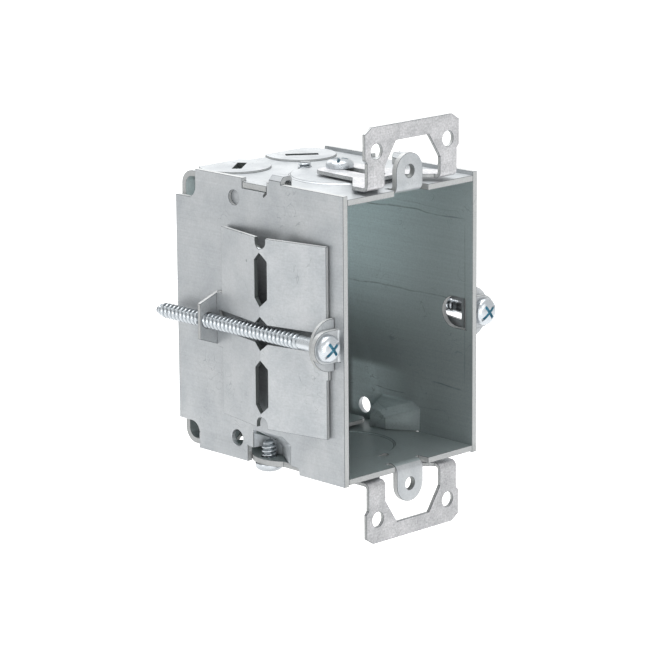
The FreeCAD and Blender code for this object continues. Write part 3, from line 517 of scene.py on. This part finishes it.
def makeScrewMaterial(name, values):
    material, tree = newMaterial(name)
    place = objectPlace(tree)
    split = parted(tree, place)
    grain = noise(tree, values["grain"], place, detail=3.0)
    # Painted blue reflection in the recess and painted shade in the thread's grooves.
    hollow = attribute(tree, "hollow")
    groove = joined(tree, "MULTIPLY", attribute(tree, "groove"), values["grooveShare"])
    colour = mixed(tree, groove, mixed(tree, hollow, values["colour"], values["hollow"]), values["groove"])
    tone = joined(tree, "MULTIPLY", darkened(tree, split, values["underZone"], values["underShade"]),
                  darkened(tree, split, values["windowZone"], values["windowShade"]))
    base = values["metallic"]
    metallic = joined(tree, "MULTIPLY_ADD", hollow, values["hollowMetallic"] - base, base)
    given = {"Base Color": toned(tree, colour, tone), "Metallic": metallic,
             "Roughness": ranged(tree, grain, 0.0, 1.0, *values["roughness"]),
             "Normal": bumped(tree, grain, values["bumpStrength"], values["bump"])}
    surface(tree, addNode(tree, "ShaderNodeBsdfPrincipled", given))
    return material


materials = {
    "galvanized_sheet": makeSheetMaterial("galvanizedSheet", galvanizedSheet, 1),
    "galvanized_ear": makeSheetMaterial("galvanizedEar", galvanizedEar, 0),
    "zinc_screw": makeScrewMaterial("zincScrew", zincScrew),
    "edge_shade_line": makeSheetMaterial("edgeShadeLine", edgeShadeLine, 1),
}
print("materials:", len(materials))


# Sheet pieces: each is a clean copy of its CAD node, with its sheared faces marked and its edges eased

sheetValues = {
    "merge": 0.001,
    "flatAngle": 0.4,      # faces flatter than this join
    "bendAngle": 28.0,     # an edge sharper than this is eased
    "ease": 0.10,
    "easeSegments": 2,
    "cutWidth": 1.75,      # a narrower face that stands square to the next is a sheared edge
    "squareAngle": 55.0,
    "squareShare": 0.6,    # how much of its rim has to stand square
    "openAngle": 3.0,      # radians, what an edge with one face counts as
    "inside": ((-23.05, -0.3, -36.3), (23.05, 60.8, 36.3)),     # corners of what counts as inside the box
}


def markCutFaces(work, values):
    layer = work.faces.layers.float.new("cutEdge")
    limit = math.radians(values["bendAngle"])
    square = math.radians(values["squareAngle"])
    seen = set()
    for first in work.faces:
        if first in seen:
            continue
        seen.add(first)
        region = [first]
        rimLength = 0.0
        squareLength = 0.0
        for face in region:
            for edge in face.edges:
                angle = edge.calc_face_angle(values["openAngle"])
                if len(edge.link_faces) != 2 or angle >= limit:
                    rimLength += edge.calc_length()
                    if angle > square:
                        squareLength += edge.calc_length()
                    continue
                for other in edge.link_faces:
                    if other not in seen:
                        seen.add(other)
                        region.append(other)
        area = sum(face.calc_area() for face in region)
        isSquare = squareLength > values["squareShare"] * rimLength
        isCut = isSquare and 2 * area / rimLength < values["cutWidth"] * mm
        for face in region:
            face[layer] = 1.0 if isCut else 0.0


# Painted shade on cut walls that little light reaches. Each spot is a place, its reach along each axis, and
# a share.
def markShaded(work, spots):
    layer = work.faces.layers.float.new("shaded")
    cut = work.faces.layers.float["cutEdge"]
    for face in work.faces:
        middle = face.calc_center_median()
        near = [share for place, reach, share in spots
                if all(abs(middle[axis] - place[axis] * mm) < reach[axis] * mm for axis in range(3))]
        face[layer] = max(near, default=0.0) * face[cut]


def markInside(work, values):
    layer = work.faces.layers.float.new("inside")
    low, high = (Vector(corner) * mm for corner in values["inside"])
    for face in work.faces:
        middle = face.calc_center_median()
        within = all(low[axis] <= middle[axis] <= high[axis] for axis in range(3))
        face[layer] = 1.0 if within and face.normal.dot((low + high) / 2 - middle) > 0 else 0.0


def cleanCopy(name, values):
    work = bmesh.new()
    work.from_mesh(frame["nodes"][name].data)
    bmesh.ops.remove_doubles(work, verts=work.verts, dist=values["merge"] * mm)
    return work


def finishSheet(work, name, slot, values, shadedSpots=(), crease=None):
    bmesh.ops.dissolve_limit(work, angle_limit=math.radians(values["flatAngle"]), verts=work.verts,
                             edges=work.edges)
    markCutFaces(work, values)
    markInside(work, values)
    markShaded(work, shadedSpots)
    mesh = bpy.data.meshes.new(name)
    work.to_mesh(mesh)
    work.free()
    mesh.shade_smooth()
    mesh.set_sharp_from_angle(angle=math.radians(values["bendAngle"]))
    for edge in mesh.edges if crease is not None else ():
        if all(abs(mesh.vertices[corner].co.y - crease) < touch for corner in edge.vertices):
            edge.use_edge_sharp = True
    mesh.materials.append(materials[slot])
    mesh.materials.append(materials["edge_shade_line"])
    piece = addObject(name, mesh)
    ease = piece.modifiers.new("easedEdges", "BEVEL")
    ease.width = values["ease"] * mm
    ease.segments = values["easeSegments"]
    ease.limit_method = "ANGLE"
    ease.angle_limit = math.radians(values["bendAngle"])
    ease.use_clamp_overlap = False
    ease.harden_normals = True
    ease.material = 1      # edge_shade_line
    return piece


bodyValues = {
    "lugHole": 41.67,      # from the middle
    "lugRadius": 4.8,
    "lugFront": 0.1,       # depth of its front face
    "lugStart": 36.5,      # from the middle
    "lugBend": 38.2,       # from the middle, where the lug starts to bend
    "lapDepth": 0.6,
    "lapSlack": 0.03,
    # painted shade in the pry-outs' slots and the lugs' tapped holes: place, reach and share
    "shadedHoleSpots": [((x, 52.1, z), (4.6, 4.6, 3.0), 1.0) for x in (-11.5, 11.5) for z in (-36.6, 36.6)]
    + [((0.0, 0.9, z), (2.2, 1.2, 2.2), 0.5) for z in (-41.67, 41.67)],
}


# The lug's round end laps over its bend. The lap is cut away and the bend's surface closed across it.
def closeLaps(work, values):
    slack = values["lapSlack"]
    near, knife = slack / 4, slack / 10

    def read(vertex):
        x, y, z = (part / mm for part in vertex.co)
        return abs(x), y, abs(z)

    def isFront(vertex):
        x, y, z = read(vertex)
        flat = abs(y - values["lugFront"]) < near
        return flat and x < values["lugRadius"] + slack and z > values["lugStart"]

    def isRim(vertex):
        x, y, z = read(vertex)
        away = math.hypot(x, z - values["lugHole"]) - values["lugRadius"]
        return abs(away) < slack and y < values["lapDepth"] and z < values["lugBend"] + slack

    for sign in (1, -1):
        front = [face for face in work.faces if all(isFront(vertex) for vertex in face.verts)]
        cut = set(front)
        for face in front:
            cut.update(face.edges)
            cut.update(face.verts)
        bmesh.ops.bisect_plane(work, geom=list(cut), dist=knife * mm, plane_no=(0, 0, 1),
                               plane_co=(0, 0, sign * values["lugBend"] * mm))
    lapped = []
    for face in work.faces:
        flat = all(isFront(vertex) and read(vertex)[2] < values["lugBend"] + near for vertex in face.verts)
        if flat or all(isRim(vertex) for vertex in face.verts):
            lapped.append(face)
    bmesh.ops.delete(work, geom=lapped, context="FACES")
    edges = [edge for edge in work.edges if edge.is_boundary]
    bmesh.ops.triangle_fill(work, edges=edges, use_beauty=True)
    bmesh.ops.recalc_face_normals(work, faces=work.faces)
    print("laps closed:", len(lapped), "faces out, open edges left:",
          sum(edge.is_boundary for edge in work.edges))


panelValues = {
    "wall": (24.7, 17.0),          # from the middle: the outside, and farther in than the scoop
    "scoopHeight": (-34.5, -24.0),
    "ridgeAngle": 0.2,             # radians
    "ridgeRound": 1.2,
    "ridgeSegments": 4,
    "scoopEnd": {                  # the closing wedge's sides: from the middle, front, back, low, high
        "outer": (24.56, 33.9, 34.3, -33.68, -29.5),
        "inner": (19.4, 32.85, 33.2, -33.68, -31.5),
    },
}


# The pressed scoop's ridges stand off the panel's wall and are rounded as a punch leaves them. A thin
# wedge closes its rear end. It comes before the rounding, or the order of its faces changes from run to run.
def softenScoop(work, values):
    bmesh.ops.dissolve_limit(work, angle_limit=math.radians(sheetValues["flatAngle"]), verts=work.verts,
                             edges=work.edges)
    wall, inner = values["wall"]
    bottom, top = values["scoopHeight"]
    ridges = []
    for edge in work.edges:
        spots = [vertex.co for vertex in edge.verts]
        inBand = all(bottom * mm < spot.z < top * mm for spot in spots)
        standing = any(inner * mm < abs(spot.x) < wall * mm for spot in spots)
        folded = len(edge.link_faces) == 2 and edge.calc_face_angle(0) > values["ridgeAngle"]
        if inBand and standing and folded:
            ridges.append(edge)
    side = -1.0 if sum(vertex.co.x for vertex in work.verts) < 0 else 1.0
    closing = bmesh.ops.create_cube(work, size=1.0)["verts"]
    for vertex in closing:
        outer, rear, upper = (vertex.co.x * side > 0, vertex.co.y > 0, vertex.co.z > 0)
        across, front, back, low, high = values["scoopEnd"]["outer" if outer else "inner"]
        vertex.co = Vector((side * across, back if rear else front, high if upper else low)) * mm
    faces = list(dict.fromkeys(face for vertex in closing for face in vertex.link_faces))
    bmesh.ops.recalc_face_normals(work, faces=faces)
    bmesh.ops.bevel(work, geom=ridges, offset=values["ridgeRound"] * mm, profile=0.5,
                    segments=values["ridgeSegments"], affect="EDGES", clamp_overlap=True)


def dressSheet(name):
    work = cleanCopy(name, sheetValues)
    if name == "box_body":
        closeLaps(work, bodyValues)
    if name.startswith("side_panel"):
        softenScoop(work, panelValues)
    spots = bodyValues["shadedHoleSpots"] if name == "box_body" else ()
    piece = finishSheet(work, name + "_sheet", slotOf[name], sheetValues, spots)
    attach(piece, bodyOf[name])
    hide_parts(name)


strapValues = {
    "mitreSlope": 0.8667,  # how the leaves' ends slant at the fold
    "mitreSlack": 0.03,
    "mitreReach": 1.5,     # how far in from the fold a mitre can lie
    "apexSlack": 0.01,
    "depth": 1.12,         # through the sheet at the fold
    "merge": 0.02,
    "bendReach": 0.02,     # each side of the fold
    "foldShadeReach": (3.0, 3.2, 26.0),         # reach of the painted shade on the window and notch walls, about the fold
}


# A strap is one piece bent at its perforated fold. Its leaves' mitred ends are drawn out along the inner
# side until they meet, so that the fold closes, and the bend follows both bodies.
def dressStrap(side, values):
    ends = ["clamp_front_leaf_" + side, "clamp_rear_leaf_" + side]
    low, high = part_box(ends[0])
    outward = -1.0 if side == "left" else 1.0
    apex = Vector((low.x if outward < 0 else high.x, high.y, 0.0))
    strap = bmesh.new()
    for name in ends:
        leaf = cleanCopy(name, sheetValues)
        mitre = []
        for vertex in leaf.verts:
            inward = (apex.x - vertex.co.x) * outward
            back = abs(apex.y - vertex.co.y)
            slanted = abs(back - inward * values["mitreSlope"]) < values["mitreSlack"] * mm
            if slanted and inward < values["mitreReach"] * mm:
                mitre.append((vertex, inward))
        squared = [(v, inward) for v, inward in mitre if inward > values["apexSlack"] * mm]
        seats = [v.co.copy() for v, inward in mitre if inward <= values["apexSlack"] * mm]
        deepest = max(inward for v, inward in squared)
        for vertex, inward in squared:
            nearest = min(seats, key=lambda seat: abs(seat.z - vertex.co.z))
            share = inward / deepest
            vertex.co = Vector((apex.x - outward * share * values["depth"] * mm, apex.y, nearest.z))
        flat = [face for face in leaf.faces if all(abs(v.co.y - apex.y) < touch for v in face.verts)]
        bmesh.ops.delete(leaf, geom=flat, context="FACES")
        mesh = bpy.data.meshes.new("leaf")
        leaf.to_mesh(mesh)
        leaf.free()
        strap.from_mesh(mesh)
        bpy.data.meshes.remove(mesh)
    bmesh.ops.remove_doubles(strap, verts=strap.verts, dist=values["merge"] * mm)
    # Painted shade on the cut walls of the fold's windows and notches.
    fold = [((apex.x / mm, apex.y / mm, 0.0), values["foldShadeReach"], 1.0)]
    piece = finishSheet(strap, "clamp_strap_" + side, slotOf[ends[0]], sheetValues, fold, apex.y)
    graph = bpy.context.evaluated_depsgraph_get()
    piece.data = bpy.data.meshes.new_from_object(piece.evaluated_get(graph))
    piece.modifiers.clear()
    reach = Vector((0, values["bendReach"] * mm, 0))
    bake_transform(piece, bodyOf[ends[0]], bodyOf[ends[1]], apex - reach, apex + reach)
    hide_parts(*ends)


sheetNodes = [name for name in frame["nodes"] if "screw" not in name and "leaf" not in name]
for name in sheetNodes:
    dressSheet(name)
for side in ("left", "right"):
    dressStrap(side, strapValues)
print("sheet pieces:", len(sheetNodes), "and two straps")


# Screws: a pan head with a slotted cross recess, a helical thread, and on the long ones a bare shank

screwValues = {            # recessReflection: share of the painted blue reflection in the recess; short: how far the thread's end stays back
    "clamp": {"headRadius": 3.6, "headHeight": 2.5, "radius": 2.05, "core": 1.50, "pitch": 1.5,
              "shank": 1.80, "bare": 9.2, "taper": 2.6, "recessReflection": 0.75},
    "lock": {"headRadius": 3.7, "headHeight": 2.3, "radius": 2.0, "core": 1.55, "pitch": 1.058,
             "shank": 1.9, "bare": 0.4, "taper": 1.3, "recessReflection": 0.3},
    "ear": {"headRadius": 3.7, "headHeight": 2.4, "radius": 1.75, "core": 1.35, "pitch": 0.794,
            "shank": 1.7, "bare": 0.4, "taper": 0.5, "recessReflection": 0.3},
    "cable": {"headRadius": 3.4, "headHeight": 2.0, "radius": 1.75, "core": 1.35, "pitch": 0.794,
              "shank": 1.7, "bare": 0.2, "taper": 0.1, "recessReflection": 0.3, "short": 0.35},
}
headValues = {
    "sides": 72,
    "rings": 12,
    "footInset": 0.15,
    "footRise": 0.12,
    "edgeShare": 0.36,     # share of the head's height that is upright
    "flatShare": 0.22,     # share of its radius that is flat on top
    "armWidth": 0.85,
    "armShare": 0.60,      # length of the cross, as a share of the head's width
    "slotDepth": 0.75,
    "crossDepth": 1.25,
    "overshoot": 1.0,      # how far the cutters stand past the head
    "steep": 0.1,          # a recess face whose normal's height is less is a wall
    "turn": 38.0,
    "sharpAngle": 38.0,
}
threadValues = {
    "sides": 40,
    "ringsPerTurn": 9,
    "flank": (0.10, 0.40),         # shares of a turn between the groove and the crest
    "tip": 0.6,                    # the tip's width, as a share of the thread's
}


def makeThreadTree(values):
    tree = bpy.data.node_groups.new("turnedThread", "GeometryNodeTree")
    names = ("Length", "Pitch", "Core Radius", "Crest Radius", "Shank Radius", "Bare Length", "Taper")
    kinds = dict(dict.fromkeys(names, "Float"), Rings="Int", Material="Material")
    sizes = {}
    for name, kind in kinds.items():
        socket = tree.interface.new_socket(name, in_out="INPUT", socket_type="NodeSocket" + kind)
        sizes[name] = socket.identifier
    tree.interface.new_socket("Geometry", in_out="OUTPUT", socket_type="NodeSocketGeometry")
    given = addNode(tree, "NodeGroupInput").outputs
    length, pitch, bare = given["Length"], given["Pitch"], given["Bare Length"]

    tube = addNode(tree, "GeometryNodeMeshCylinder", {"Vertices": values["sides"], "Radius": 1.0,
                                                      "Side Segments": given["Rings"], "Depth": length})
    x, y, z = parted(tree, addNode(tree, "GeometryNodeInputPosition").outputs[0])
    along = joined(tree, "ADD", z, joined(tree, "MULTIPLY", length, 0.5))
    turns = joined(tree, "DIVIDE", along, pitch)
    lead = joined(tree, "MULTIPLY_ADD", joined(tree, "ARCTAN2", y, x), 1 / (2 * math.pi), turns)
    crest = ranged(tree, joined(tree, "PINGPONG", lead, 0.5), *values["flank"], soft=True)
    deep = joined(tree, "SUBTRACT", given["Crest Radius"], given["Core Radius"])
    wave = joined(tree, "MULTIPLY_ADD", crest, deep, given["Core Radius"])
    cutting = ranged(tree, along, bare, joined(tree, "ADD", bare, pitch))
    shank = given["Shank Radius"]
    body = addNode(tree, "ShaderNodeMix", {0: cutting, 2: shank, 3: wave}, data_type="FLOAT")
    left = joined(tree, "SUBTRACT", length, along)
    narrow = ranged(tree, left, 0.0, given["Taper"], values["tip"], 1.0)
    radius = joined(tree, "MULTIPLY", body.outputs[0], narrow)
    moved = addNode(tree, "ShaderNodeCombineXYZ", {0: joined(tree, "MULTIPLY", x, radius),
                                                   1: joined(tree, "MULTIPLY", y, radius),
                                                   2: joined(tree, "MULTIPLY", along, -1.0)})
    # The groove's share, kept for the painted shade between the threads.
    groove = joined(tree, "MULTIPLY", joined(tree, "SUBTRACT", 1.0, crest), cutting)
    marked = addNode(tree, "GeometryNodeStoreNamedAttribute",
                     {"Geometry": tube.outputs["Mesh"], "Name": "groove", "Value": groove},
                     data_type="FLOAT", domain="POINT")
    shaped = addNode(tree, "GeometryNodeSetPosition",
                     {"Geometry": marked.outputs[0], "Position": moved.outputs[0]})
    turned = addNode(tree, "GeometryNodeFlipFaces", {"Mesh": shaped.outputs[0]})
    real = addNode(tree, "GeometryNodeRealizeInstances", {0: turned.outputs[0]})
    dressed = addNode(tree, "GeometryNodeSetMaterial",
                      {"Geometry": real.outputs[0], "Material": given["Material"]})
    addNode(tree, "NodeGroupOutput", {0: dressed.outputs[0]})
    return tree, sizes


threadTree, threadInputs = makeThreadTree(threadValues)


def bakeThread(name, values, length):
    holder = addObject(name, bpy.data.meshes.new(name))
    maker = holder.modifiers.new("turnedThread", "NODES")
    maker.node_group = threadTree
    given = {
        "Length": length, "Pitch": values["pitch"] * mm, "Core Radius": values["core"] * mm,
        "Crest Radius": values["radius"] * mm, "Shank Radius": values["shank"] * mm,
        "Bare Length": values["bare"] * mm, "Taper": values["taper"] * mm,
        "Rings": round(length / (values["pitch"] * mm) * threadValues["ringsPerTurn"]),
        "Material": materials["zinc_screw"],
    }
    for label, value in given.items():
        maker[threadInputs[label]] = value
    graph = bpy.context.evaluated_depsgraph_get()
    mesh = bpy.data.meshes.new_from_object(holder.evaluated_get(graph))
    bpy.data.objects.remove(holder)
    return mesh


def headMesh(values, shape):
    work = bmesh.new()
    radius = values["headRadius"] * mm
    rise = values["headHeight"] * mm
    edge = rise * shape["edgeShare"]
    flat = radius * shape["flatShare"]
    inset, foot = shape["footInset"] * mm, shape["footRise"] * mm
    outline = [(0.0, 0.0), (radius - inset, 0.0), (radius, foot), (radius, edge)]
    for step in range(1, shape["rings"] + 1):
        angle = math.pi / 2 * step / shape["rings"]
        outline.append((flat + (radius - flat) * math.cos(angle), edge + (rise - edge) * math.sin(angle)))
    outline.append((0.0, rise))
    rings = []
    for across, up in outline:
        if across == 0.0:
            rings.append([work.verts.new((0, 0, up))])
            continue
        spots = [2 * math.pi * side / shape["sides"] for side in range(shape["sides"])]
        rings.append([work.verts.new((across * math.cos(a), across * math.sin(a), up)) for a in spots])
    for low, high in zip(rings, rings[1:]):
        for side in range(shape["sides"]):
            after = (side + 1) % shape["sides"]
            corners = [low[side % len(low)], low[after % len(low)], high[after % len(high)],
                       high[side % len(high)]]
            work.faces.new(list(dict.fromkeys(corners)))
    mesh = bpy.data.meshes.new("panHead")
    work.to_mesh(mesh)
    work.free()
    return mesh


def boxMesh(low, high):
    work = bmesh.new()
    bmesh.ops.create_cube(work, size=1.0)
    middle = (Vector(low) + Vector(high)) / 2
    span = Vector(high) - Vector(low)
    for vertex in work.verts:
        vertex.co = middle + Vector(tuple(part * size for part, size in zip(vertex.co, span)))
    mesh = bpy.data.meshes.new("recess")
    work.to_mesh(mesh)
    work.free()
    return mesh


def cutRecess(mesh, values, shape):
    head = addObject("panHead", mesh)
    rise = values["headHeight"]
    reach = values["headRadius"] * shape["armShare"]
    half = shape["armWidth"] / 2
    full = values["headRadius"] + shape["overshoot"]
    above = rise + shape["overshoot"]
    slot, cross = rise - shape["slotDepth"], rise - shape["crossDepth"]
    cuts = [((-full, -half, slot), (full, half, above)),
            ((-reach, -half, cross), (reach, half, above)),
            ((-half, -reach, cross), (half, reach, above))]
    cutters = []
    for low, high in cuts:
        cutter = addObject("recess", boxMesh([v * mm for v in low], [v * mm for v in high]))
        knife = head.modifiers.new("recess", "BOOLEAN")
        knife.operation = "DIFFERENCE"
        knife.solver = "EXACT"
        knife.object = cutter
        cutters.append(cutter)
    graph = bpy.context.evaluated_depsgraph_get()
    result = bpy.data.meshes.new_from_object(head.evaluated_get(graph))
    for thing in cutters + [head]:
        bpy.data.objects.remove(thing)
    return result


# Recess faces carry the share of the painted blue reflection.
def markHollow(work, values, shape):
    layer = work.faces.layers.float.new("hollow")
    slotFloor = (values["headHeight"] - shape["slotDepth"]) * mm
    for face in work.faces:
        spot = face.calc_center_median()
        if spot.z <= 0:
            continue
        inner = max(abs(spot.x), abs(spot.y)) < values["headRadius"] * mm * shape["armShare"]
        arm = min(abs(spot.x), abs(spot.y)) <= shape["armWidth"] / 2 * mm + touch
        steep = abs(face.normal.z) < shape["steep"] or spot.z < slotFloor + touch
        face[layer] = values["recessReflection"] if inner and arm and steep else 0.0


def makeScrew(name, kind, seat, pose):
    values = screwValues[kind]
    low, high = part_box(name)
    longest = max(high[axis] - low[axis] for axis in range(3))
    length = longest - (values["headHeight"] + values.get("short", 0.0)) * mm
    work = bmesh.new()
    work.from_mesh(cutRecess(headMesh(values, headValues), values, headValues))
    markHollow(work, values, headValues)
    bmesh.ops.rotate(work, verts=work.verts, cent=(0, 0, 0),
                     matrix=Matrix.Rotation(math.radians(headValues["turn"]), 3, "Z"))
    work.from_mesh(bakeThread(name + "_thread", values, length))
    mesh = bpy.data.meshes.new(name + "_turned")
    work.to_mesh(mesh)
    work.free()
    mesh.transform(Matrix.Translation(seat) @ pose.to_4x4())
    mesh.shade_smooth()
    mesh.set_sharp_from_angle(angle=math.radians(headValues["sharpAngle"]))
    mesh.materials.clear()
    mesh.materials.append(materials["zinc_screw"])
    piece = addObject(name + "_turned", mesh)
    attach(piece, bodyOf[name])
    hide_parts(name)


screwKinds = {
    "clamp_screw": "clamp",
    "lock_screw": "lock",
    "ear_screw": "ear",
    "cable_clamp_screw": "cable",
}


# Where a head's foot lies, and the turn that points its local Z towards the room, down or up.
def screwSeat(name, family):
    low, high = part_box(name)
    middle = (Vector(low) + Vector(high)) / 2
    headHeight = screwValues[screwKinds[family]]["headHeight"] * mm
    if family == "clamp_screw":
        return Vector((middle.x, low[1] + headHeight, middle.z)), Matrix.Rotation(math.radians(90), 3, "X")
    if family == "lock_screw" or (family == "ear_screw") != name.endswith("top"):
        return Vector((middle.x, middle.y, low[2] + headHeight)), Matrix.Rotation(math.pi, 3, "X")
    return Vector((middle.x, middle.y, high[2] - headHeight)), Matrix.Identity(3)


screwNodes = [name for name in frame["nodes"] if "screw" in name]
for name in screwNodes:
    family = name.rsplit("_", 1)[0]
    makeScrew(name, screwKinds[family], *screwSeat(name, family))
print("screws:", len(screwNodes))
